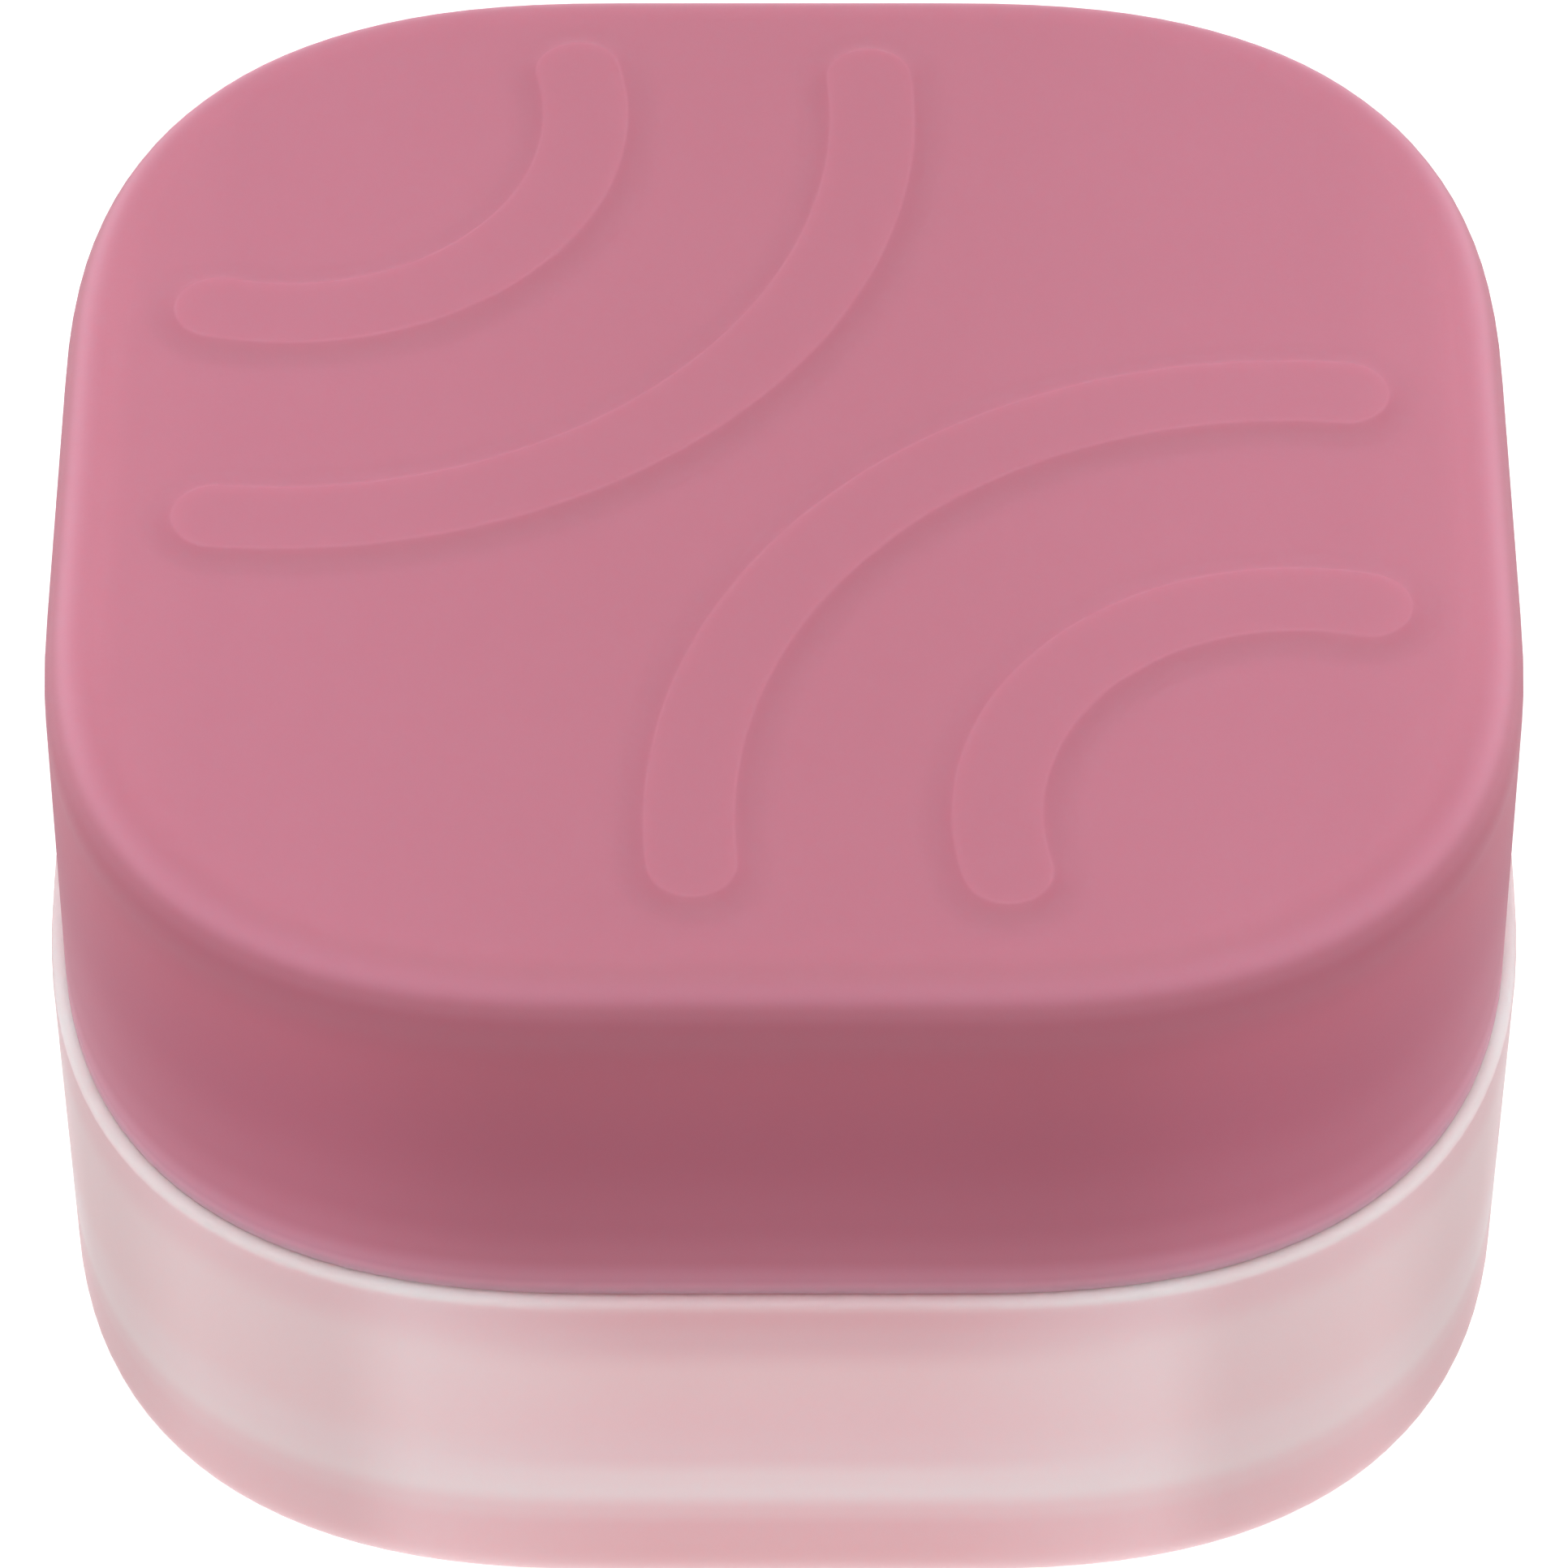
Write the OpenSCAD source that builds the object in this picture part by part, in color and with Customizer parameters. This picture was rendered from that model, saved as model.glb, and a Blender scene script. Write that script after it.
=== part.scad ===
// Silicone cupping cup that is stored mouth down on a frosted jar, as the jar's lid.
// Millimetres. +Z is up and the front faces -Y. The origin is on the surface that the jar stands on, under
// the jar's centre. Every outline is a square with full, rounded corners, and all of them share one set of
// corner centres, so a wall between two outlines is even along the flats.

/* [Outline] */
// Width of the cup across its flats
cup_w = 64; // [60:0.5:72]
// Straight stretch in the middle of each side
straight_len = 14.4; // [8:0.2:20]
// Fullness of the corners: 2 is a circle's arc, and more is squarer
corner_power = 2.55; // [2:0.05:3]
// Flat steps round one corner
corner_steps = 20; // [12:2:24]

/* [Cup] */
// Height of the cup from its lip to its crown, without the ridges
cup_h = 18.7; // [16.5:0.05:26]
// Rounding of the crown's outer edge
crown_edge = 2.8; // [1.5:0.1:3.5]
// Thickness of the crown
crown_t = 3; // [2:0.1:4]
// Thickness of the side wall that flexes
wall_t = 2.8; // [2:0.1:3.2]
// Thickness of the lip round the mouth
lip_t = 3.6; // [3.4:0.1:4.2]
// Height of the thick lip
lip_h = 6.5; // [5:0.1:7]

/* [Grip ridges] */
// Width of a ridge
ridge_w = 3.9; // [2:0.1:5]
// Height of a ridge above the crown
ridge_h = 0.45; // [0.2:0.05:0.8]
// Distance between the ridges of a pair, and the radius of the smaller one
ridge_pitch = 13; // [10:0.5:13.5]
// Distance of the ridges' centre from the middle of the crown, along X and along Y
ridge_centre = 22; // [20:0.5:23]

/* [Jar] */
// How much wider the jar's shoulder is than the cup
shoulder_step = 1.2; // [0.6:0.1:2.4]
// How much narrower the jar is near its base than at its shoulder
jar_taper = 0.6; // [0:0.1:2]
// Height of the jar from its underside to its shoulder
jar_h = 19.65; // [18:0.05:26]
// Thickness of the jar's wall
jar_wall = 5; // [4.5:0.1:5.5]
// Thickness of the jar's floor
jar_floor = 6.3; // [4:0.1:7]
// Rounding of the jar's lower edge
base_edge = 2.5; // [1:0.1:4]
// Height of the neck above the shoulder
neck_h = 6; // [5:0.1:7]
// Depth of the finger well in the sealing disc
well_depth = 3.5; // [2.5:0.1:3.8]

/* [Clearances] */
// Seam between the cup's lip and the jar's shoulder
seam = 0.1; // [0.1:0.05:0.4]
// Sliding gap between the neck and the cup's lip
neck_gap = 0.2; // [0.15:0.05:0.4]
// Gap round the bowl, inside the neck, and round the disc's plug, inside the bowl
bowl_gap = 0.3; // [0.2:0.05:0.5]

/* [Hidden] */

bond_gap = 0.05; // left for the adhesive where a piece is bonded in
rest_gap = 0.1; // between pieces that rest on each other and lift off
corner_c = straight_len / 2;
cup_half = cup_w / 2;
lip_half = cup_half - lip_t;
wall_half = cup_half - wall_t;
neck_half = lip_half - neck_gap;

pad_t = 1.2;
pad_proud = 0.3;
pad_half = cup_half - 7;
jar_half = cup_half + shoulder_step / 2;
base_half = jar_half - jar_taper / 2;
pocket_half = jar_half - jar_wall;
shoulder_edge = 0.35;
pocket_edge = 5;
jar_z0 = pad_proud;
jar_z1 = jar_z0 + jar_h;
pocket_z = jar_z0 + jar_floor;

neck_t = 2.6;
neck_edge = 0.5;
skirt_depth = 4;
collar_half = neck_half - neck_t;
neck_z1 = jar_z1 + neck_h;

seal_r = 0.6;
seal_half = neck_half + rest_gap - seal_r;
seal_z = jar_z1 + neck_h / 2;
groove_half = seal_half - seal_r - bond_gap;
groove_h = 2 * seal_r + rest_gap;

bowl_t = 1.3;
bowl_floor_t = 1.4;
bowl_edge = 4;
flange_t = 1.1;
flange_half = neck_half - 0.8;
bowl_half = collar_half - bowl_gap;
bowl_in = bowl_half - bowl_t;
bowl_z0 = pocket_z + 0.3;
flange_z0 = neck_z1 + rest_gap;
flange_z1 = flange_z0 + flange_t;

disc_t = 1.2;
disc_z0 = flange_z1 + rest_gap;
disc_z1 = disc_z0 + disc_t;
plug_t = 1;
plug_depth = 2.5;
plug_half = bowl_in - bowl_gap;
well_r = 9;
well_t = 1;
bar_w = 2.2;
bar_sink = 0.2;

cup_z0 = jar_z1 + seam;
cup_z1 = cup_z0 + cup_h;
lip_edge_out = 0.2;
lip_edge_in = 1.2;
lip_slope = 1.6;
ceiling_edge = 3;
ceiling_z = cup_z1 - crown_t;

ridge_embed = 0.3;
ridge_step = 0.2;
ridge_spans = [[76, 194], [84, 186]];

// One outline, counter-clockwise seen from above: four corners of a superellipse joined by straight sides.
function outline(half) = [
    for (quarter = [0:3])
    for (i = [0:corner_steps])
    let (
        t = 90 * i / corner_steps,
        x = corner_c + (half - corner_c) * pow(cos(t), 2 / corner_power),
        y = corner_c + (half - corner_c) * pow(sin(t), 2 / corner_power),
        c = [1, 0, -1, 0][quarter],
        s = [0, 1, 0, -1][quarter]
    ) [c * x - s * y, s * x + c * y]
];

// Points of an arc in a wall's section, as [half width, height]
function arc(half, z, r, from, to, steps = 6) = [
    for (i = [0:steps])
    let (a = from + (to - from) * i / steps) [half + r * cos(a), z + r * sin(a)]
];

// Solid whose wall follows section, a list of [half width, height]. It runs from a cap that faces up,
// round the outside and down. It ends in a cap that faces down, or meets its start when ring is true.
module wall_solid(section, ring = false) {
    count = len(section);
    sides = 4 * (corner_steps + 1);
    points = [for (p = section) for (q = outline(p[0])) [q[0], q[1], p[1]]];
    caps = ring ? [] : [
        [for (j = [0:sides - 1]) sides - 1 - j],
        [for (j = [0:sides - 1]) (count - 1) * sides + j]
    ];
    quads = [
        for (i = [0:count - (ring ? 1 : 2)])
        for (j = [0:sides - 1])
        let (k = (j + 1) % sides, below = (i + 1) % count)
        [i * sides + j, i * sides + k, below * sides + k, below * sides + j]
    ];
    polyhedron(points = points, faces = concat(caps, quads), convexity = 6);
}

// Flat band that follows an arc of radius r about the origin, with round ends
module band(r, from, to, width, height) {
    w = width / 2;
    steps = 24;
    outer = arc(0, 0, r + w, from, to, steps);
    far_end = arc(r * cos(to), r * sin(to), w, to, to + 180, 10);
    inner = arc(0, 0, r - w, to, from, steps);
    near_end = arc(r * cos(from), r * sin(from), w, from + 180, from + 360, 10);
    linear_extrude(height)
        polygon(concat(outer, [for (i = [1:9]) far_end[i]], inner, [for (i = [1:9]) near_end[i]]));
}

// Pair of ridges that spread like ripples from near one corner of the crown. Each has a stepped edge.
module ridge_pair() {
    translate([ridge_centre, -ridge_centre, cup_z1 - ridge_embed])
        for (i = [0:1]) {
            r = ridge_pitch * (i + 1);
            span = ridge_spans[i];
            band(r, span[0], span[1], ridge_w, ridge_embed + ridge_h - ridge_step);
            band(r, span[0], span[1], ridge_w - 2 * ridge_step, ridge_embed + ridge_h);
        }
}

// One-piece silicone cup, mouth down. The lip is thick, to seal on skin and to guide on the neck.
module cupping_cup() {
    section = concat(
        arc(cup_half - crown_edge, cup_z1 - crown_edge, crown_edge, 90, 0, 9),
        arc(cup_half - lip_edge_out, cup_z0 + lip_edge_out, lip_edge_out, 0, -90, 3),
        arc(lip_half + lip_edge_in, cup_z0 + lip_edge_in, lip_edge_in, -90, -180, 5),
        [[lip_half, cup_z0 + lip_h - lip_slope], [wall_half, cup_z0 + lip_h]],
        arc(wall_half - ceiling_edge, ceiling_z - ceiling_edge, ceiling_edge, 0, 90, 8)
    );
    color([0.79, 0.49, 0.56])
        union() {
            wall_solid(section);
            ridge_pair();
            rotate([0, 0, 180])
                ridge_pair();
        }
}

// Flexible disc that plugs the bowl. Two fingers pinch the bar that crosses its well.
module sealing_disc() {
    color([0.97, 0.93, 0.93])
        union() {
            difference() {
                union() {
                    translate([0, 0, disc_z0])
                        linear_extrude(disc_t)
                        polygon(outline(flange_half));
                    translate([0, 0, disc_z1 - well_depth - well_t])
                        cylinder(r = well_r + well_t, h = well_depth + well_t, $fn = 96);
                    translate([0, 0, disc_z0 - plug_depth])
                        difference() {
                            linear_extrude(plug_depth + disc_t / 2)
                                polygon(outline(plug_half));
                            translate([0, 0, -1])
                                linear_extrude(plug_depth + disc_t + 1)
                                polygon(outline(plug_half - plug_t));
                        }
                }
                translate([0, 0, disc_z1 - well_depth])
                    cylinder(r = well_r, h = well_depth + 1, $fn = 96);
            }
            translate([-well_r - well_t / 2, -bar_w / 2, disc_z1 - well_depth - well_t / 2])
                cube([2 * well_r + well_t, bar_w, well_depth + well_t / 2 - bar_sink]);
        }
}

// Bowl for the balm. It hangs inside the neck by its flange and lifts out.
module inner_bowl() {
    inner_edge = bowl_edge - bowl_t;
    section = concat(
        arc(bowl_in - inner_edge, bowl_z0 + bowl_floor_t + inner_edge, inner_edge, -90, 0, 8),
        [[bowl_in, flange_z1], [flange_half, flange_z1], [flange_half, flange_z0], [bowl_half, flange_z0]],
        arc(bowl_half - bowl_edge, bowl_z0 + bowl_edge, bowl_edge, 0, -90, 8)
    );
    color([0.93, 0.78, 0.79])
        wall_solid(section);
}

// Ring bonded into the jar's mouth. Its neck carries the seal and guides the cup.
module neck_collar() {
    skirt_half = pocket_half - bond_gap;
    section = [
        [neck_half - neck_edge, neck_z1],
        [neck_half, neck_z1 - neck_edge],
        [neck_half, seal_z + groove_h / 2],
        [groove_half, seal_z + groove_h / 2],
        [groove_half, seal_z - groove_h / 2],
        [neck_half, seal_z - groove_h / 2],
        [neck_half, jar_z1],
        [skirt_half, jar_z1],
        [skirt_half, jar_z1 - skirt_depth],
        [collar_half, jar_z1 - skirt_depth],
        [collar_half, neck_z1]
    ];
    color([0.86, 0.62, 0.67])
        wall_solid(section, ring = true);
}

// O-ring in the neck's groove. It stands just proud of the neck.
module seal_ring() {
    turn = arc(seal_half, seal_z, seal_r, 90, -270, 12);
    color([0.95, 0.9, 0.9])
        wall_solid([for (i = [0:11]) turn[i]], ring = true);
}

// Outer jar: thick frosted wall and floor, a pocket for the collar and bowl, and a recess for the pad
module frosted_jar() {
    recess_half = pad_half + bond_gap;
    section = concat(
        arc(pocket_half - pocket_edge, pocket_z + pocket_edge, pocket_edge, -90, 0, 8),
        [[pocket_half, jar_z1]],
        arc(jar_half - shoulder_edge, jar_z1 - shoulder_edge, shoulder_edge, 90, 0, 5),
        arc(base_half - base_edge, jar_z0 + base_edge, base_edge, 0, -90, 8),
        [[recess_half, jar_z0], [recess_half, pad_t + bond_gap]]
    );
    color([0.88, 0.75, 0.76])
        wall_solid(section);
}

// Non-slip pad bonded into the jar's underside
module foot_pad() {
    color([0.9, 0.82, 0.82])
        linear_extrude(pad_t)
        polygon(outline(pad_half));
}

cupping_cup();
sealing_disc();
inner_bowl();
neck_collar();
seal_ring();
frosted_jar();
foot_pad();
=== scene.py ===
import math

import bmesh
import bpy
import numpy as np
from mathutils import Euler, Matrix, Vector
from mathutils.geometry import delaunay_2d_cdt


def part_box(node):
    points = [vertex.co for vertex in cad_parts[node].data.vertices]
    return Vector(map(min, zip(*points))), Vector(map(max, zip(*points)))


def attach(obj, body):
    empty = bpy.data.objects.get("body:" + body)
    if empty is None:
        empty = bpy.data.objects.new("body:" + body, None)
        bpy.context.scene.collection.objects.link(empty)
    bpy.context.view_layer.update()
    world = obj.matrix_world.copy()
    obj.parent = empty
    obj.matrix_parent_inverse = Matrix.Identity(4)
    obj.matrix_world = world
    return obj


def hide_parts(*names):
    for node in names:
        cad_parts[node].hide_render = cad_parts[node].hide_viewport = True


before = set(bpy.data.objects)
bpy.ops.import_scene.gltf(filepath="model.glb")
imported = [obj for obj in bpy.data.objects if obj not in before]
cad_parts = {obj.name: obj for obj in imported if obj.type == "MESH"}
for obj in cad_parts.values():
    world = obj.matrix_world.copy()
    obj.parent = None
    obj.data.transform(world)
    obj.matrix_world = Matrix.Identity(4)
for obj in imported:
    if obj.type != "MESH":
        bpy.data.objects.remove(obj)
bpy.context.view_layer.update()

MM = 0.001

# ---------------------------------------------------------------------------------------------------------
# Frosted jar
# The outer jar is moulded in pale-pink acrylic with a thick wall and floor, and its outside is frosted by
# fine blasting. The pocket takes the neck collar and the bowl, and the underside has a recess for the pad.
# ---------------------------------------------------------------------------------------------------------
corner_centre = 7.2 * MM  # where every outline's corner arcs are centred, along X and along Y
corner_power = 2.55
corner_steps = 28  # spans in one corner
flat_steps = 24  # spans in one flat, where the flats are divided
arc_span = 0.25 * MM  # aimed length of a span in a rounded edge
edge_margin = 0.15 * MM  # how far outside a rounded edge its extra points stand


def outline(half, roundness):
    """Closed outlines, one for each half width: (outline, point, xy), counter-clockwise seen from above.

    Each quarter is a superellipse: its x is the corner centre plus the corner's size times cos(t) raised to
    2 / power, and its y is the same with sin(t). Where roundness is 1, the point lies on a circle of that
    half width as its radius, at the same angle round the middle, and between 0 and 1 the two are mixed.
    The straight flats between the quarters are divided only where some outline is rounded.
    """
    t = np.linspace(0, math.pi / 2, corner_steps + 1)
    size = np.asarray(half)[:, None] - corner_centre
    x = corner_centre + size * np.cos(t).clip(0) ** (2 / corner_power)
    y = corner_centre + size * np.sin(t).clip(0) ** (2 / corner_power)
    if np.any(roundness):
        along = corner_centre * np.linspace(1, -1, flat_steps + 1)[1:-1]
        x = np.hstack([x, np.ones((len(x), 1)) * along])
        y = np.hstack([y, np.asarray(half)[:, None] * np.ones(len(along))])
    x, y = np.hstack([x, -y, -x, y]), np.hstack([y, x, -y, -x])
    reach = np.asarray(half)[:, None] / np.hypot(x, y)
    w = np.asarray(roundness)[:, None]
    return np.stack([x, y], axis=2) * ((1 - w) + w * reach)[:, :, None]


def section(corners, closed=False):
    """Rounded section of a wall: array of (half width, height, roundness) along it.

    corners holds (half width, height, radius, roundness). Each corner is replaced by an arc of its radius
    that touches both of its straight lines, with one more point just outside each end of the arc, so that
    the flats beside it are shaded flat. The ends of an open section stay as they are.
    """
    pts = np.array([(*c, 0, 0)[:4] if len(c) < 4 else c for c in corners], float)
    out = []
    for i, (half, z, radius, roundness) in enumerate(pts):
        here = np.array([half, z])
        if not closed and i in (0, len(pts) - 1):
            out.append([half, z, roundness])
            continue
        before, after = pts[i - 1, :2] - here, pts[(i + 1) % len(pts), :2] - here
        len_before, len_after = np.linalg.norm(before), np.linalg.norm(after)
        u, v = before / len_before, after / len_after
        half_angle = math.acos(np.clip(u @ v, -1, 1)) / 2
        cut = radius / math.tan(half_angle)
        centre = here + (u + v) / np.linalg.norm(u + v) * radius / math.sin(half_angle)
        first, last = here + u * cut - centre, here + v * cut - centre
        a0, a1 = math.atan2(first[1], first[0]), math.atan2(last[1], last[0])
        turn = (a1 - a0 + math.pi) % (2 * math.pi) - math.pi
        steps = int(np.clip(radius / arc_span, 4, 12))
        a = a0 + turn * np.linspace(0, 1, steps + 1)
        extra_before = cut + min(edge_margin, (len_before - cut) / 3)
        extra_after = cut + min(edge_margin, (len_after - cut) / 3)
        run = np.vstack([
            here + u * extra_before,
            centre + radius * np.column_stack([np.cos(a), np.sin(a)]),
            here + v * extra_after,
        ])
        out.extend(np.column_stack([run, np.full(len(run), roundness)]).tolist())
    return np.array(out)


def wall(rows, closed=False, caps=(True, True)):
    """Vertices and faces of a wall whose section is rows: each row's outline at the row's height.

    The section runs outwards on top, down outside and inwards below, so the faces point out of the solid.
    """
    xy = outline(rows[:, 0], rows[:, 2])
    count, sides = xy.shape[:2]
    z = np.broadcast_to(rows[:, 1][:, None, None], (count, sides, 1))
    verts = np.concatenate([xy, z], axis=2).reshape(-1, 3)
    i = np.arange(count if closed else count - 1)[:, None]
    j = np.arange(sides)[None, :]
    near, far, below = j, (j + 1) % sides, (i + 1) % count
    quads = np.stack([i * sides + far, i * sides + near, below * sides + near, below * sides + far], axis=2)
    faces = quads.reshape(-1, 4).tolist()
    if not closed and caps[0]:
        faces.append(list(range(sides)))
    if not closed and caps[1]:
        faces.append(list(range(len(verts) - 1, len(verts) - 1 - sides, -1)))
    return verts, faces


def make_piece(name, body, slot, node, verts, faces):
    """Object from vertices and faces, smooth, welded, riding on its body in place of its CAD node."""
    mesh = bpy.data.meshes.new(name)
    mesh.from_pydata(np.asarray(verts).tolist(), [], faces)
    work = bmesh.new()
    work.from_mesh(mesh)
    bmesh.ops.remove_doubles(work, verts=work.verts, dist=0.001 * MM)
    work.to_mesh(mesh)
    work.free()
    mesh.shade_smooth()
    piece = bpy.data.objects.new(name, mesh)
    bpy.context.scene.collection.objects.link(piece)
    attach(piece, body)
    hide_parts(node)
    return piece


def group_socket(group, name, kind, default=None, in_out="INPUT"):
    """One named socket on a node group."""
    socket = group.interface.new_socket(name=name, in_out=in_out, socket_type=kind)
    if default is not None:
        socket.default_value = default
    return socket


def surface_grain_group():
    """Satin grain: Height is fine noise at Scale, Mottle is slow noise from 0 to 1 that varies colour."""
    group = bpy.data.node_groups.new("surface_grain", "ShaderNodeTree")
    group_socket(group, "Scale", "NodeSocketFloat", 2500.0)
    group_socket(group, "Mottle Scale", "NodeSocketFloat", 60.0)
    group_socket(group, "Height", "NodeSocketFloat", in_out="OUTPUT")
    group_socket(group, "Mottle", "NodeSocketFloat", in_out="OUTPUT")
    nodes, links = group.nodes, group.links
    inputs, outputs = nodes.new("NodeGroupInput"), nodes.new("NodeGroupOutput")
    coords = nodes.new("ShaderNodeTexCoord")
    for socket, output, detail in (("Scale", "Height", 3), ("Mottle Scale", "Mottle", 2)):
        noise = nodes.new("ShaderNodeTexNoise")
        noise.inputs["Detail"].default_value = detail
        links.new(coords.outputs["Object"], noise.inputs["Vector"])
        links.new(inputs.outputs[socket], noise.inputs["Scale"])
        links.new(noise.outputs["Fac"], outputs.inputs[output])
    return group


surface_grain = surface_grain_group()


def grained_material(name, dark, light, rough, grain_scale, bump, **constants):
    """Moulded material: its colour wanders from dark to light, its roughness follows, its grain is a bump.

    constants are values set on the Principled shader's own sockets. Returns the material and its shader.
    """
    material = bpy.data.materials.new(name)
    material.use_nodes = True
    nodes, links = material.node_tree.nodes, material.node_tree.links
    shader = nodes["Principled BSDF"]
    for socket, value in constants.items():
        shader.inputs[socket.replace("_", " ")].default_value = value
    grain = nodes.new("ShaderNodeGroup")
    grain.node_tree = surface_grain
    grain.inputs["Scale"].default_value = grain_scale
    colour = nodes.new("ShaderNodeMix")
    colour.data_type = "RGBA"
    colour.inputs["A"].default_value = (*dark, 1)
    colour.inputs["B"].default_value = (*light, 1)
    links.new(grain.outputs["Mottle"], colour.inputs["Factor"])
    links.new(colour.outputs["Result"], shader.inputs["Base Color"])
    roughness = nodes.new("ShaderNodeMapRange")
    roughness.inputs["To Min"].default_value = rough[0]
    roughness.inputs["To Max"].default_value = rough[1]
    links.new(grain.outputs["Mottle"], roughness.inputs["Value"])
    links.new(roughness.outputs["Result"], shader.inputs["Roughness"])
    relief = nodes.new("ShaderNodeBump")
    relief.inputs["Strength"].default_value = bump
    relief.inputs["Distance"].default_value = 0.05 * MM
    links.new(grain.outputs["Height"], relief.inputs["Height"])
    links.new(relief.outputs["Normal"], shader.inputs["Normal"])
    return material, shader


jar_low, jar_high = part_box("frosted_jar")
pad_low, pad_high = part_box("foot_pad")
jar_wall = 5 * MM
jar_floor = 6.3 * MM
jar_taper = 0.3 * MM  # how much narrower the base is than the shoulder, on each side
bond_gap = 0.05 * MM
shoulder_half = jar_high.x
base_half = shoulder_half - jar_taper
pocket_half = shoulder_half - jar_wall
pocket_z = jar_low.z + jar_floor
recess_half = pad_high.x + bond_gap
recess_z = pad_high.z + bond_gap
cap_half = 9 * MM  # half width of the plain face that closes a section in the middle

jar_section = section([
    (cap_half, pocket_z),
    (pocket_half, pocket_z, 5 * MM),
    (pocket_half, jar_high.z, 0.25 * MM),
    (shoulder_half, jar_high.z, 0.35 * MM),
    (base_half, jar_low.z, 2.5 * MM),
    (recess_half, jar_low.z, 0.2 * MM),
    (recess_half, recess_z, 0.1 * MM),
    (cap_half, recess_z),
])
jar = make_piece("jar_shell", "jar", "frosted_acrylic", "frosted_jar", *wall(jar_section))
frosted, frosted_shader = grained_material(
    "frosted_acrylic", (0.92, 0.73, 0.75), (0.93, 0.75, 0.77), (0.5, 0.56), 3000, 0.12,
    IOR=1.49, Subsurface_Weight=1.0, Subsurface_Scale=3 * MM, Specular_IOR_Level=0.08,
    Subsurface_Radius=(1, 0.8, 0.8),
)
jar.data.materials.append(frosted)


def math_node(material, operation, *values):
    """Output of a Math node that applies the operation to the values, each a socket or a number."""
    node = material.node_tree.nodes.new("ShaderNodeMath")
    node.operation = operation
    for socket, value in zip(node.inputs, values):
        if isinstance(value, (int, float)):
            socket.default_value = value
        else:
            material.node_tree.links.new(value, socket)
    return node.outputs["Value"]


def object_axes(material):
    """X, Y and Z of the Object coordinates, as three sockets."""
    nodes, links = material.node_tree.nodes, material.node_tree.links
    split = nodes.new("ShaderNodeSeparateXYZ")
    links.new(nodes.new("ShaderNodeTexCoord").outputs["Object"], split.inputs["Vector"])
    return split.outputs["X"], split.outputs["Y"], split.outputs["Z"]


def colour_ramp(material, value, start, stops):
    """Colour that follows a value: a smooth ramp through stops, each of which is (how many millimetres
    the value is past start, r, g, b)."""
    nodes, links = material.node_tree.nodes, material.node_tree.links
    length = stops[-1][0]
    along = nodes.new("ShaderNodeMapRange")
    along.inputs["From Min"].default_value = start
    along.inputs["From Max"].default_value = start + length * MM
    links.new(value, along.inputs["Value"])
    ramp = nodes.new("ShaderNodeValToRGB")
    ramp.color_ramp.interpolation = "EASE"
    ramp.color_ramp.elements.remove(ramp.color_ramp.elements[1])
    for i, (place, *tint) in enumerate(stops):
        stop = ramp.color_ramp.elements[0] if i == 0 else ramp.color_ramp.elements.new(place / length)
        stop.position = place / length
        stop.color = (*tint, 1)
    links.new(along.outputs["Result"], ramp.inputs["Fac"])
    return ramp.outputs["Color"]


def mix_colours(material, blend_type, factor, a, b):
    """Output of a colour Mix node, whose factor is a socket or a number."""
    nodes, links = material.node_tree.nodes, material.node_tree.links
    mix = nodes.new("ShaderNodeMix")
    mix.data_type = "RGBA"
    mix.blend_type = blend_type
    if isinstance(factor, (int, float)):
        mix.inputs["Factor"].default_value = factor
    else:
        links.new(factor, mix.inputs["Factor"])
    links.new(a, mix.inputs["A"])
    links.new(b, mix.inputs["B"])
    return mix.outputs["Result"]


def smooth_step(material, value, start, stop):
    """0 where the value is below start, 1 where it is above stop, and a smooth step between them."""
    step = material.node_tree.nodes.new("ShaderNodeMapRange")
    step.interpolation_type = "SMOOTHSTEP"
    step.inputs["From Min"].default_value = start
    step.inputs["From Max"].default_value = stop
    material.node_tree.links.new(value, step.inputs["Value"])
    return step.outputs["Result"]


def tint(material, shader, colour):
    """Multiplies what feeds the shader's Base Color by the colour."""
    base = shader.inputs["Base Color"].links[0].from_socket
    tinted = mix_colours(material, "MULTIPLY", 1, base, colour)
    material.node_tree.links.new(tinted, shader.inputs["Base Color"])


# Painted light and shade: ramps multiply the wall's colour to paint what the translucent wall would show of
# what stands behind it: the solid floor, the turn of the pocket, the bowl, and the collar's skirt, which is
# painted as a pinker zone under the shoulder in the middle of each side. The corners and the left and right
# walls are painted a little darker, as painted shade, and the shoulder's top is painted palest, as a
# painted highlight.
jar_x, jar_y, jar_height = object_axes(frosted)
jar_side = math_node(frosted, "ABSOLUTE", jar_x)
from_middle = math_node(frosted, "MINIMUM", jar_side, math_node(frosted, "ABSOLUTE", jar_y))
# Painted shading up the middle of each wall: pinker at the floor, a painted pale band where the pocket
# turns, and a pinker zone under the shoulder.
painted_shading_over_middle = colour_ramp(frosted, jar_height, jar_low.z, [
    (0.0, 0.84, 0.66, 0.67),
    (4.6, 0.92, 0.69, 0.72),
    (5.7, 0.95, 0.79, 0.81),
    (7.0, 1.0, 0.99, 0.99),
    (8.0, 1.0, 0.96, 0.96),
    (9.5, 0.95, 0.82, 0.84),
    (12.0, 0.95, 0.79, 0.81),
    (15.0, 0.94, 0.8, 0.81),
    (17.3, 0.85, 0.66, 0.69),
    (19.0, 0.84, 0.6, 0.63),
    (19.35, 0.86, 0.64, 0.66),
    (19.65, 0.93, 0.79, 0.81),
])
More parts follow.
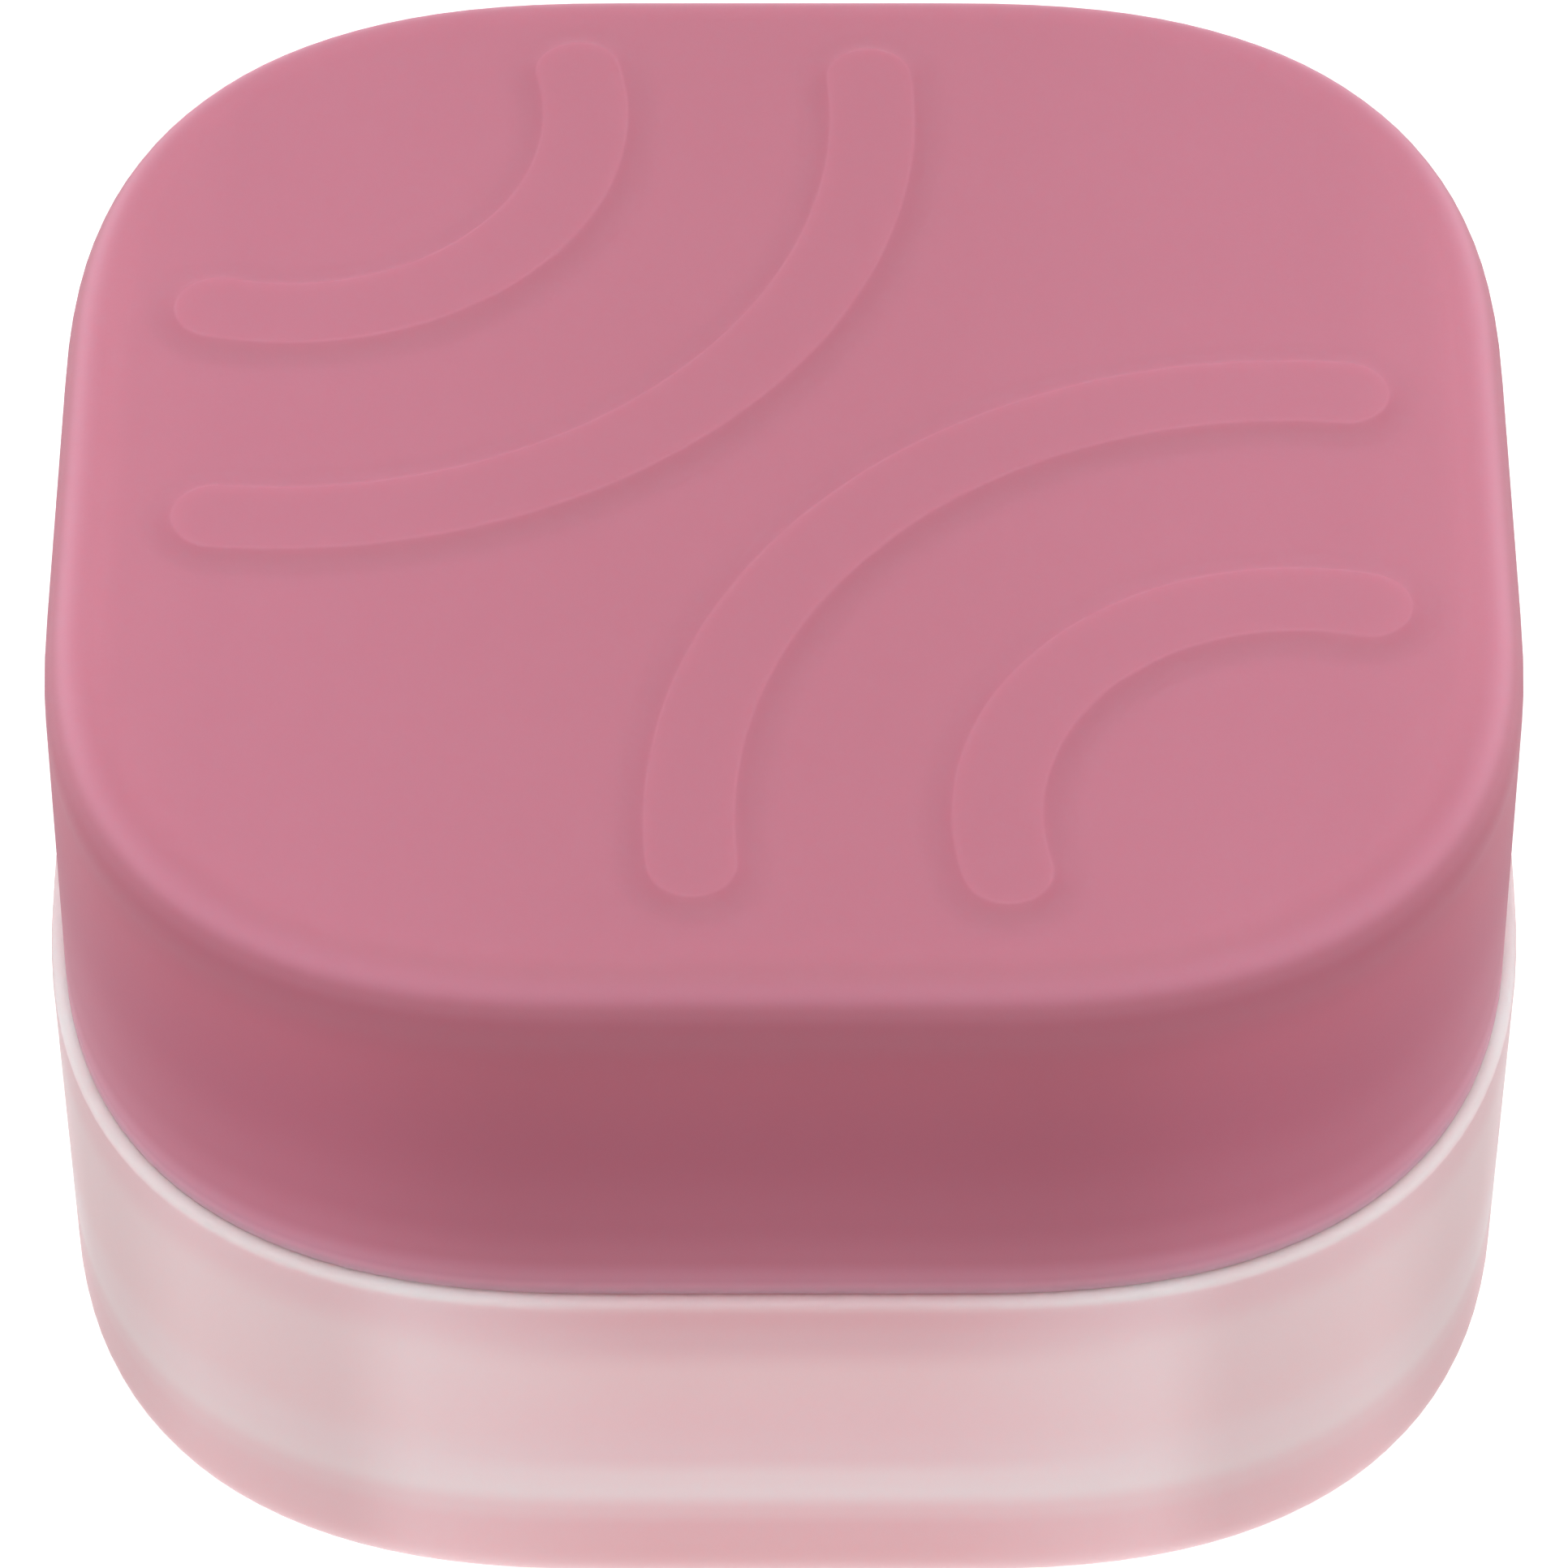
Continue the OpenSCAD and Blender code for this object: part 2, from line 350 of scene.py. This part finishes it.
# Painted shading up the corners, with a painted highlight at the shoulder's top.
painted_shading_by_corners = colour_ramp(frosted, jar_height, jar_low.z, [
    (0.0, 0.97, 0.83, 0.85),
    (4.6, 0.98, 0.84, 0.86),
    (5.7, 0.98, 0.9, 0.91),
    (7.0, 1.0, 1.03, 1.02),
    (8.5, 1.0, 1.0, 1.0),
    (11.0, 1.0, 0.94, 0.94),
    (16.0, 1.0, 0.97, 0.97),
    (18.4, 0.98, 0.86, 0.88),
    (19.3, 0.98, 0.84, 0.86),
    (19.58, 1.06, 1.14, 1.12),
    (19.65, 1.06, 1.15, 1.13),
])
painted_shading_corner_mix = smooth_step(frosted, from_middle, 4 * MM, 20 * MM)
tint(frosted, frosted_shader, mix_colours(frosted, "MIX", painted_shading_corner_mix, painted_shading_over_middle, painted_shading_by_corners))
# Painted shade: the corners are painted a little darker.
tint(frosted, frosted_shader, colour_ramp(frosted, from_middle, 15.5 * MM, [
    (0.0, 1.0, 1.0, 1.0),
    (4.5, 0.88, 0.845, 0.845),
    (10.5, 0.9, 0.865, 0.865),
]))
# Painted shade: the left and right walls are painted a little darker, and the shoulder's top is kept out of
# it.
on_shoulder = smooth_step(frosted, jar_height, jar_high.z - 0.35 * MM, jar_high.z - 0.05 * MM)
painted_side_shade_place = math_node(frosted, "MULTIPLY_ADD", on_shoulder, -10 * MM, jar_side)
tint(frosted, frosted_shader, colour_ramp(frosted, painted_side_shade_place, 25.5 * MM, [
    (0.0, 1.0, 1.0, 1.0),
    (4.5, 0.86, 0.84, 0.84),
    (7.1, 0.84, 0.82, 0.82),
]))

# ---------------------------------------------------------------------------------------------------------
# Foot pad
# A pale rubber pad is bonded into the recess under the jar and stands just proud, so the jar doesn't slide.
# Shallow grooves, moulded one inside the other in its underside, let it grip a wet shelf.
# ---------------------------------------------------------------------------------------------------------
groove_middles = (22.4, 20.2, 18, 15.8, 13.6, 11.4)  # half widths, in millimetres
groove_depth = 0.25 * MM
groove_mouth, groove_bottom = 0.5 * MM, 0.3 * MM  # half the width of each
groove_edge = 0.1 * MM
pad_grooves = [
    (half * MM + across, pad_low.z + up, groove_edge)
    for half in groove_middles
    for across, up in (
        (groove_mouth, 0), (groove_bottom, groove_depth), (-groove_bottom, groove_depth), (-groove_mouth, 0)
    )
]
pad_section = section([
    (cap_half, pad_high.z),
    (pad_high.x, pad_high.z, 0.1 * MM),
    (pad_high.x, pad_low.z, 0.2 * MM),
    *pad_grooves,
    (cap_half, pad_low.z),
])
pad = make_piece("non_slip_pad", "jar", "pale_rubber", "foot_pad", *wall(pad_section))
pad_rubber, _ = grained_material(
    "pale_rubber", (0.68, 0.56, 0.56), (0.76, 0.64, 0.64), (0.75, 0.85), 1800, 0.3,
)
pad.data.materials.append(pad_rubber)

# ---------------------------------------------------------------------------------------------------------
# Neck collar
# This rose moulded ring is bonded into the pocket's mouth. Its neck guides the cup and has a groove for the
# seal, and the bowl hangs on its top edge.
# ---------------------------------------------------------------------------------------------------------
collar_low, collar_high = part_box("neck_collar")
seal_low, seal_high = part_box("seal_ring")
neck_half = collar_high.x
collar_wall = 2.6 * MM
collar_half = neck_half - collar_wall
skirt_half = pocket_half - bond_gap
seal_radius = (seal_high.z - seal_low.z) / 2
groove_half = seal_high.x - 2 * seal_radius - bond_gap

collar_section = section([
    (neck_half, collar_high.z, 0.5 * MM),
    (neck_half, seal_high.z + bond_gap, 0.12 * MM),
    (groove_half, seal_high.z + bond_gap, 0.12 * MM),
    (groove_half, seal_low.z - bond_gap, 0.12 * MM),
    (neck_half, seal_low.z - bond_gap, 0.12 * MM),
    (neck_half, jar_high.z, 0.1 * MM),
    (skirt_half, jar_high.z, 0.05 * MM),
    (skirt_half, collar_low.z, 0.3 * MM),
    (collar_half, collar_low.z, 0.3 * MM),
    (collar_half, collar_high.z, 0.3 * MM),
], closed=True)
collar = make_piece(
    "neck_ring", "jar", "rose_plastic", "neck_collar", *wall(collar_section, closed=True)
)
rose_plastic, _ = grained_material(
    "rose_plastic", (0.5, 0.24, 0.28), (0.53, 0.26, 0.3), (0.32, 0.4), 2200, 0.1,
)
collar.data.materials.append(rose_plastic)

# ---------------------------------------------------------------------------------------------------------
# Seal ring
# A milky silicone O-ring, moulded in one piece, is stretched into the neck's groove. The cup's lip slides
# over it, and it grips and seals.
# ---------------------------------------------------------------------------------------------------------
seal_turn = np.linspace(0, -2 * math.pi, 16, endpoint=False)
seal_section = np.column_stack([
    seal_high.x - seal_radius + seal_radius * np.cos(seal_turn),
    (seal_low.z + seal_high.z) / 2 + seal_radius * np.sin(seal_turn),
    np.zeros(len(seal_turn)),
])
seal = make_piece("o_ring", "jar", "clear_rubber", "seal_ring", *wall(seal_section, closed=True))
clear_rubber, _ = grained_material(
    "clear_rubber", (0.66, 0.58, 0.58), (0.7, 0.62, 0.62), (0.35, 0.45), 2000, 0.08,
    Subsurface_Weight=0.6, Subsurface_Scale=0.5 * MM,
)
seal.data.materials.append(clear_rubber)

# ---------------------------------------------------------------------------------------------------------
# Inner bowl
# The bowl is moulded in opaque pale-pink plastic and polished inside. It hangs in the neck by its flange,
# and lifts out to be washed.
# ---------------------------------------------------------------------------------------------------------
bowl_low, bowl_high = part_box("inner_bowl")
play = 0.3 * MM  # gap on each side between pieces that lift apart
bowl_wall = 1.3 * MM
bowl_base = 1.4 * MM
flange_thickness = 1.1 * MM
flange_half = bowl_high.x
bowl_half = collar_half - play
bowl_in = bowl_half - bowl_wall
bowl_floor = bowl_low.z + bowl_base
flange_low = bowl_high.z - flange_thickness

bowl_section = section([
    (cap_half, bowl_floor),
    (bowl_in, bowl_floor, 2.7 * MM),
    (bowl_in, bowl_high.z, 0.4 * MM),
    (flange_half, bowl_high.z, 0.3 * MM),
    (flange_half, flange_low, 0.3 * MM),
    (bowl_half, flange_low, 0.2 * MM),
    (bowl_half, bowl_low.z, 4 * MM),
    (cap_half, bowl_low.z),
])
bowl = make_piece("balm_bowl", "bowl", "pale_pink_plastic", "inner_bowl", *wall(bowl_section))
bowl_plastic, _ = grained_material(
    "pale_pink_plastic", (0.68, 0.44, 0.46), (0.71, 0.47, 0.49), (0.18, 0.26), 1500, 0.04,
    Coat_Weight=0.2, Coat_Roughness=0.15,
)
bowl.data.materials.append(bowl_plastic)

# ---------------------------------------------------------------------------------------------------------
# Sealing disc
# A flexible milky disc plugs the bowl and keeps the balm clean. Two fingers pinch the bar that crosses the
# round well in its middle.
# ---------------------------------------------------------------------------------------------------------
disc_low, disc_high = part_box("sealing_disc")
plate_thickness = 1.2 * MM
plug_depth = 2.5 * MM
plug_wall = 1 * MM
well_radius = 9 * MM
well_wall = 1 * MM
well_depth = 3.5 * MM
well_cap = 7.6 * MM  # radius of the plain face in the well's middle
plate_half = disc_high.x
plate_low = disc_high.z - plate_thickness
plug_half = bowl_in - play
plug_low = plate_low - plug_depth
well_z = disc_high.z - well_depth

disc_section = section([
    (well_cap, well_z, 0, 1),
    (well_radius, well_z, 0.6 * MM, 1),
    (well_radius, disc_high.z, 0.4 * MM, 1),
    (plate_half, disc_high.z, 0.35 * MM, 0),
    (plate_half, plate_low, 0.2 * MM, 0),
    (plug_half, plate_low, 0.2 * MM, 0),
    (plug_half, plug_low, 0.3 * MM, 0),
    (plug_half - plug_wall, plug_low, 0.3 * MM, 0),
    (plug_half - plug_wall, plate_low, 0.3 * MM, 0),
    (well_radius + well_wall, plate_low, 0.3 * MM, 1),
    (well_radius + well_wall, disc_low.z, 0.5 * MM, 1),
    (well_cap, disc_low.z, 0, 1),
])
bar_half = 1.1 * MM
bar_waist = 0.3 * MM  # how much narrower the bar is in its middle, on each side
bar_reach = well_radius + well_wall / 2
bar_low = well_z - 0.5 * MM
bar_high = disc_high.z - 0.2 * MM


def pinch_bar():
    """Vertices and faces of the bar: a round-topped section carried along X through the well.

    Half its width is bar_half - bar_waist * cos(pi / 2 * place) ** 2, where place goes from -1 to 1 along
    the bar, so it has a waist for the fingertips. The section goes up one side, over the top as a
    superellipse of power 3, and down.
    """
    along = np.linspace(-bar_reach, bar_reach, 49)[:, None]
    half = bar_half - bar_waist * np.cos(along / bar_reach * math.pi / 2) ** 2
    turn = np.linspace(0, math.pi, 25)[None, :]
    across = half * np.sign(np.cos(turn)) * np.abs(np.cos(turn)) ** (2 / 3)
    up = bar_high - bar_half + bar_half * np.sin(turn) ** (2 / 3)
    across = np.hstack([half, across, -half])
    up = np.broadcast_to(np.hstack([[[bar_low]], up, [[bar_low]]]), across.shape)
    verts = np.stack([np.broadcast_to(along, across.shape), across, up], axis=2)
    rows, sides = across.shape
    i, j = np.arange(rows - 1)[:, None], np.arange(sides)[None, :]
    k = (j + 1) % sides
    near, far = i * sides, (i + 1) * sides
    quads = np.stack([near + j, far + j, far + k, near + k], axis=2)
    ends = [list(range(sides)), list(range(rows * sides - 1, (rows - 1) * sides - 1, -1))]
    return verts.reshape(-1, 3), quads.reshape(-1, 4).tolist() + ends


def join_solid(piece, verts, faces, sharp_angle):
    """Adds a closed solid to a piece as one skin. Edges sharper than the angle stay sharp when shaded."""
    mesh = bpy.data.meshes.new("joined_solid")
    mesh.from_pydata(np.asarray(verts).tolist(), [], faces)
    other = bpy.data.objects.new("joined_solid", mesh)
    bpy.context.scene.collection.objects.link(other)
    union = piece.modifiers.new("union", "BOOLEAN")
    union.operation = "UNION"
    union.solver = "EXACT"
    union.object = other
    depsgraph = bpy.context.evaluated_depsgraph_get()
    joined = bpy.data.meshes.new_from_object(piece.evaluated_get(depsgraph))
    piece.modifiers.clear()
    piece.data = joined
    bpy.data.objects.remove(other)
    joined.shade_smooth()
    joined.set_sharp_from_angle(angle=sharp_angle)


disc = make_piece("disc_plate", "disc", "soft_white_plastic", "sealing_disc", *wall(disc_section))
join_solid(disc, *pinch_bar(), math.radians(50))
milky, _ = grained_material(
    "soft_white_plastic", (0.75, 0.7, 0.7), (0.78, 0.73, 0.73), (0.35, 0.42), 2200, 0.08,
    Subsurface_Weight=0.5, Subsurface_Scale=1 * MM,
)
disc.data.materials.append(milky)

# ---------------------------------------------------------------------------------------------------------
# Cupping cup
# The cup is one piece of opaque dusty-rose silicone, moulded with a satin skin. It stands mouth down over
# the neck. Its lip is thick to seal on skin, and raised ridges on the crown give oily fingers a grip.
# ---------------------------------------------------------------------------------------------------------
cup_low, cup_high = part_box("cupping_cup")
ridge_height = 0.45 * MM
crown_edge = 2.8 * MM
crown_thickness = 3 * MM
cup_wall = 2.8 * MM
lip_thickness = 3.6 * MM
lip_height = 6.5 * MM
crown_z = cup_high.z - ridge_height
cup_half = cup_high.x
crown_half = cup_half - crown_edge - edge_margin  # half width of the crown's flat sheet
lip_half = cup_half - lip_thickness
wall_half = cup_half - cup_wall
ceiling_z = crown_z - crown_thickness
lip_top = cup_low.z + lip_height

ridge_width = 3.9 * MM
ridge_pitch = 13 * MM
ridge_centre = 22 * MM
ridge_edge = 0.16 * MM
ridge_foot = 1.4 * MM
foot_top, foot_power = 0.93, 1.9  # the foot's height as a share of the ridge's, and how fast it falls
ridge_spans = ((1, math.radians(76), math.radians(194)), (2, math.radians(84), math.radians(186)))


def ridge_profile():
    """Section of a ridge: (distance from its middle line, height above the crown).

    The top is flat, its edge is a small rounding, and below that the side falls steeply and runs out into
    the crown: its height is ridge_height * foot_top * (1 - s) ** foot_power, with s from 0 to 1 across it.
    """
    s = np.array([0.05, 0.12, 0.2, 0.3, 0.42, 0.56, 0.72, 0.86, 1])
    side = ridge_width / 2
    top = np.array([[0, 1], [side - 2.5 * ridge_edge, 1], [side - ridge_edge, 1]])
    rounding = np.array([[side - 0.45 * ridge_edge, 0.98], [side, foot_top]])
    foot = np.column_stack([side + s * ridge_foot, foot_top * (1 - s) ** foot_power])
    flat = np.array([[side + ridge_foot + 0.2 * MM, 0]])
    rows = np.vstack([top, rounding, foot, flat])
    return rows * np.array([1, ridge_height])


def ridge_loop(radius, start, stop, away):
    """Closed loop at distance away round an arc: the outer arc, a half turn round its end, the inner arc
    back, and a half turn round its start. Returns an array of (x, y) about the arc's centre."""
    along, cap = np.linspace(start, stop, 72), np.linspace(0, math.pi, 18)[1:-1]

    def about(mid_angle, angles):
        return np.column_stack([
            radius * np.cos(mid_angle) + away * np.cos(angles),
            radius * np.sin(mid_angle) + away * np.sin(angles),
        ])

    return np.vstack([
        about(along, along),
        about(stop, stop + cap),
        about(along[::-1], along[::-1] + math.pi),
        about(start, start + math.pi + cap),
    ])


def crown():
    """Crown of the cup: a flat sheet with one hole for each ridge, and the ridges that fill the holes."""
    rim = outline([crown_half], [0])[0]
    loops, verts, faces = [rim], [], []
    profile = ridge_profile()
    for side in (1, -1):
        for number, start, stop in ridge_spans:
            rings = []
            for away, height in profile:
                loop = ridge_loop(number * ridge_pitch, start, stop, away)
                loop = side * (loop + [ridge_centre, -ridge_centre])
                rings.append(np.column_stack([loop, np.full(len(loop), crown_z + height)]))
            count, base = len(rings[0]), sum(len(v) for v in verts)
            i, j = np.arange(len(rings) - 1)[:, None], np.arange(count)[None, :]
            k = (j + 1) % count
            near, far = i * count, (i + 1) * count
            quads = np.stack([near + j, far + j, far + k, near + k], axis=2)
            faces += (quads.reshape(-1, 4) + base).tolist()
            verts.append(np.vstack(rings))
            loops.append(rings[-1][:, :2])
    points = np.vstack(loops)
    starts = np.cumsum([0] + [len(loop) for loop in loops])
    edges = [
        (a + i, a + (i + 1) % (b - a)) for a, b in zip(starts, starts[1:]) for i in range(b - a)
    ]
    flat = delaunay_2d_cdt([Vector(p) for p in points], edges, [], 0, 0.0001 * MM)
    flat_xy = np.array([p[:] for p in flat[0]])
    triangles = np.array(flat[2])
    middle = flat_xy[triangles].mean(axis=1)
    keep = np.ones(len(triangles), bool)
    for side in (1, -1):
        local = side * middle - [ridge_centre, -ridge_centre]
        for number, start, stop in ridge_spans:
            keep &= arc_distance(local, number * ridge_pitch, start, stop) > profile[-1, 0]
    base = sum(len(v) for v in verts)
    verts.append(np.column_stack([flat_xy, np.full(len(flat_xy), crown_z)]))
    return np.vstack(verts), faces + (triangles[keep] + base).tolist()


def arc_distance(xy, radius, start, stop):
    """Distance of points from an arc about the origin: to its circle in its span, to its ends outside."""
    angle = np.arctan2(xy[:, 1], xy[:, 0]) % (2 * math.pi)
    ends = radius * np.array([[math.cos(start), math.sin(start)], [math.cos(stop), math.sin(stop)]])
    to_ends = np.linalg.norm(xy[:, None, :] - ends[None], axis=2).min(axis=1)
    inside = (angle > start) & (angle < stop)
    return np.where(inside, np.abs(np.linalg.norm(xy, axis=1) - radius), to_ends)


lip_z = cup_low.z - 0.06 * MM  # the soft lip settles on the shoulder, but doesn't quite meet it
cup_section = section([
    (crown_half, crown_z),
    (cup_half, crown_z, crown_edge),
    (cup_half, lip_z, 0.12 * MM),
    (lip_half, lip_z, 1.2 * MM),
    (lip_half, lip_top - 1.6 * MM, 1.5 * MM),
    (wall_half, lip_top, 1.5 * MM),
    (wall_half, ceiling_z, 3 * MM),
    (cap_half, ceiling_z),
])
crown_verts, crown_faces = crown()
wall_verts, wall_faces = wall(cup_section, caps=(False, True))
cup_faces = crown_faces + [[v + len(crown_verts) for v in face] for face in wall_faces]
cup = make_piece(
    "cup_shell", "cup", "rose_silicone", "cupping_cup", np.vstack([crown_verts, wall_verts]), cup_faces
)
silicone, silicone_shader = grained_material(
    "rose_silicone", (0.405, 0.128, 0.176), (0.415, 0.133, 0.183), (0.52, 0.58), 2600, 0.1,
    Subsurface_Weight=0.7, Subsurface_Scale=3 * MM, Subsurface_Radius=(1, 0.5, 0.55),
    Specular_IOR_Level=0.18,
)
# Painted light: ramps multiply the colour, so the crown's rounded edge and the lip's edge are painted paler
# than the wall between them, and so are the wall's corners and the crown's sides. They stand in for light
# that enters the silicone's edges and comes out again close by, and for how the lamps fall on it.
cup_x, cup_y, cup_height = object_axes(silicone)
# Painted light up the wall: palest at the lip's edge, a little darker in the middle, and paler on the
# crown's rounded edge.
tint(silicone, silicone_shader, colour_ramp(silicone, cup_height, cup_low.z, [
    (0.0, 1.9, 2.9, 2.6),
    (0.4, 1.6, 2.2, 2.05),
    (0.9, 1.34, 1.7, 1.65),
    (2.2, 1.13, 1.18, 1.2),
    (4.5, 1.04, 0.98, 1.03),
    (9.0, 0.99, 0.85, 0.92),
    (14.5, 1.05, 0.91, 0.95),
    (16.6, 1.06, 1.02, 1.03),
    (17.3, 1.11, 1.2, 1.18),
    (17.9, 1.28, 1.54, 1.52),
    (18.6, 1.08, 1.15, 1.15),
    (18.7, 1.08, 1.15, 1.15),
]))
sideways = math_node(silicone, "ABSOLUTE", cup_x)
lengthways = math_node(silicone, "ABSOLUTE", cup_y)
# Painted light: the crown's left and right sides are painted paler.
painted_light_over_crown = colour_ramp(silicone, sideways, 0, [
    (4.0, 0.97, 1.02, 1.01),
    (24.0, 1.02, 1.08, 1.08),
    (28.0, 1.05, 1.12, 1.11),
    (32.0, 1.16, 1.28, 1.25),
])
to_corner = math_node(silicone, "MINIMUM", sideways, lengthways)
# Painted light: the wall's corners are painted paler.
painted_light_round_wall = colour_ramp(silicone, to_corner, 10 * MM, [
    (0.0, 1.02, 1.0, 1.0),
    (12.0, 1.18, 1.17, 1.19),
])
painted_light_wall_to_crown = smooth_step(silicone, cup_height, cup_low.z + 13.5 * MM, cup_low.z + 17.5 * MM)
tint(silicone, silicone_shader, mix_colours(silicone, "MIX", painted_light_wall_to_crown, painted_light_round_wall, painted_light_over_crown))
cup.data.materials.append(silicone)

# ---------------------------------------------------------------------------------------------------------
# Floor, light and camera
# A pale floor that is lit from inside, a large softbox overhead, a wide one behind and a weak one on each
# side, and a long lens from above the front.
# ---------------------------------------------------------------------------------------------------------
floor_z = -0.05 * MM
floor_mesh = bpy.data.meshes.new("floor")
floor_corners = ((-4, -3), (4, -3), (4, 5), (-4, 5))  # so that its two halves don't meet under the object
floor_mesh.from_pydata([(x, y, floor_z) for x, y in floor_corners], [], [(0, 1, 2, 3)])
floor = bpy.data.objects.new("floor", floor_mesh)
bpy.context.scene.collection.objects.link(floor)
floor_material, floor_shader = grained_material(
    "pale_floor", (0.2, 0.198, 0.198), (0.22, 0.218, 0.218), (0.8, 0.9), 900, 0.02,
    Emission_Color=(1, 0.99, 0.99, 1), Emission_Strength=0.98,
)
floor_mesh.materials.append(floor_material)
# The floor can be looked through from below, so that the underside shows.
floor_nodes, floor_links = floor_material.node_tree.nodes, floor_material.node_tree.links
see_through = floor_nodes.new("ShaderNodeMixShader")
floor_links.new(floor_nodes.new("ShaderNodeNewGeometry").outputs["Backfacing"], see_through.inputs["Fac"])
floor_links.new(floor_shader.outputs["BSDF"], see_through.inputs[1])
floor_links.new(floor_nodes.new("ShaderNodeBsdfTransparent").outputs["BSDF"], see_through.inputs[2])
floor_links.new(see_through.outputs["Shader"], floor_nodes["Material Output"].inputs["Surface"])


def softbox(name, place, size, watts, target):
    """Rectangular area light at place, size metres across, facing target."""
    light = bpy.data.lights.new(name, "AREA")
    light.shape = "RECTANGLE"
    light.size, light.size_y = size
    light.energy = watts
    lamp = bpy.data.objects.new(name, light)
    lamp.location = place
    lamp.rotation_euler = (Vector(target) - Vector(place)).to_track_quat("-Z", "Y").to_euler()
    bpy.context.scene.collection.objects.link(lamp)


middle = (0, 0, 0.02)
softbox("overhead", (0, -0.05, 0.9), (0.9, 0.8), 9.9, middle)
softbox("left", (-0.72, 0.15, 0.42), (0.5, 0.5), 0.6, middle)
softbox("right", (0.72, 0.15, 0.42), (0.5, 0.5), 0.6, middle)
softbox("back", (0, 0.85, 0.65), (1.7, 0.6), 2.7, middle)

scene = bpy.context.scene
scene.view_settings.view_transform = "Standard"
scene.world = bpy.data.worlds.new("studio")
scene.world.use_nodes = True
scene.world.node_tree.nodes["Background"].inputs["Color"].default_value = (1, 0.985, 0.985, 1)
scene.world.node_tree.nodes["Background"].inputs["Strength"].default_value = 0.15

camera_data = bpy.data.cameras.new("camera")
camera_data.lens = 216.4  # millimetres
camera_data.sensor_width = 36
camera = bpy.data.objects.new("camera", camera_data)
look_at = Vector((0, 0, cup_high.z - 20.82 * MM))
pitch = math.radians(45.95)
camera_distance = 427 * MM
camera.location = look_at + camera_distance * Vector((0, -math.cos(pitch), math.sin(pitch)))
camera.rotation_euler = Euler((math.pi / 2 - pitch, 0, 0))
scene.collection.objects.link(camera)
scene.camera = camera
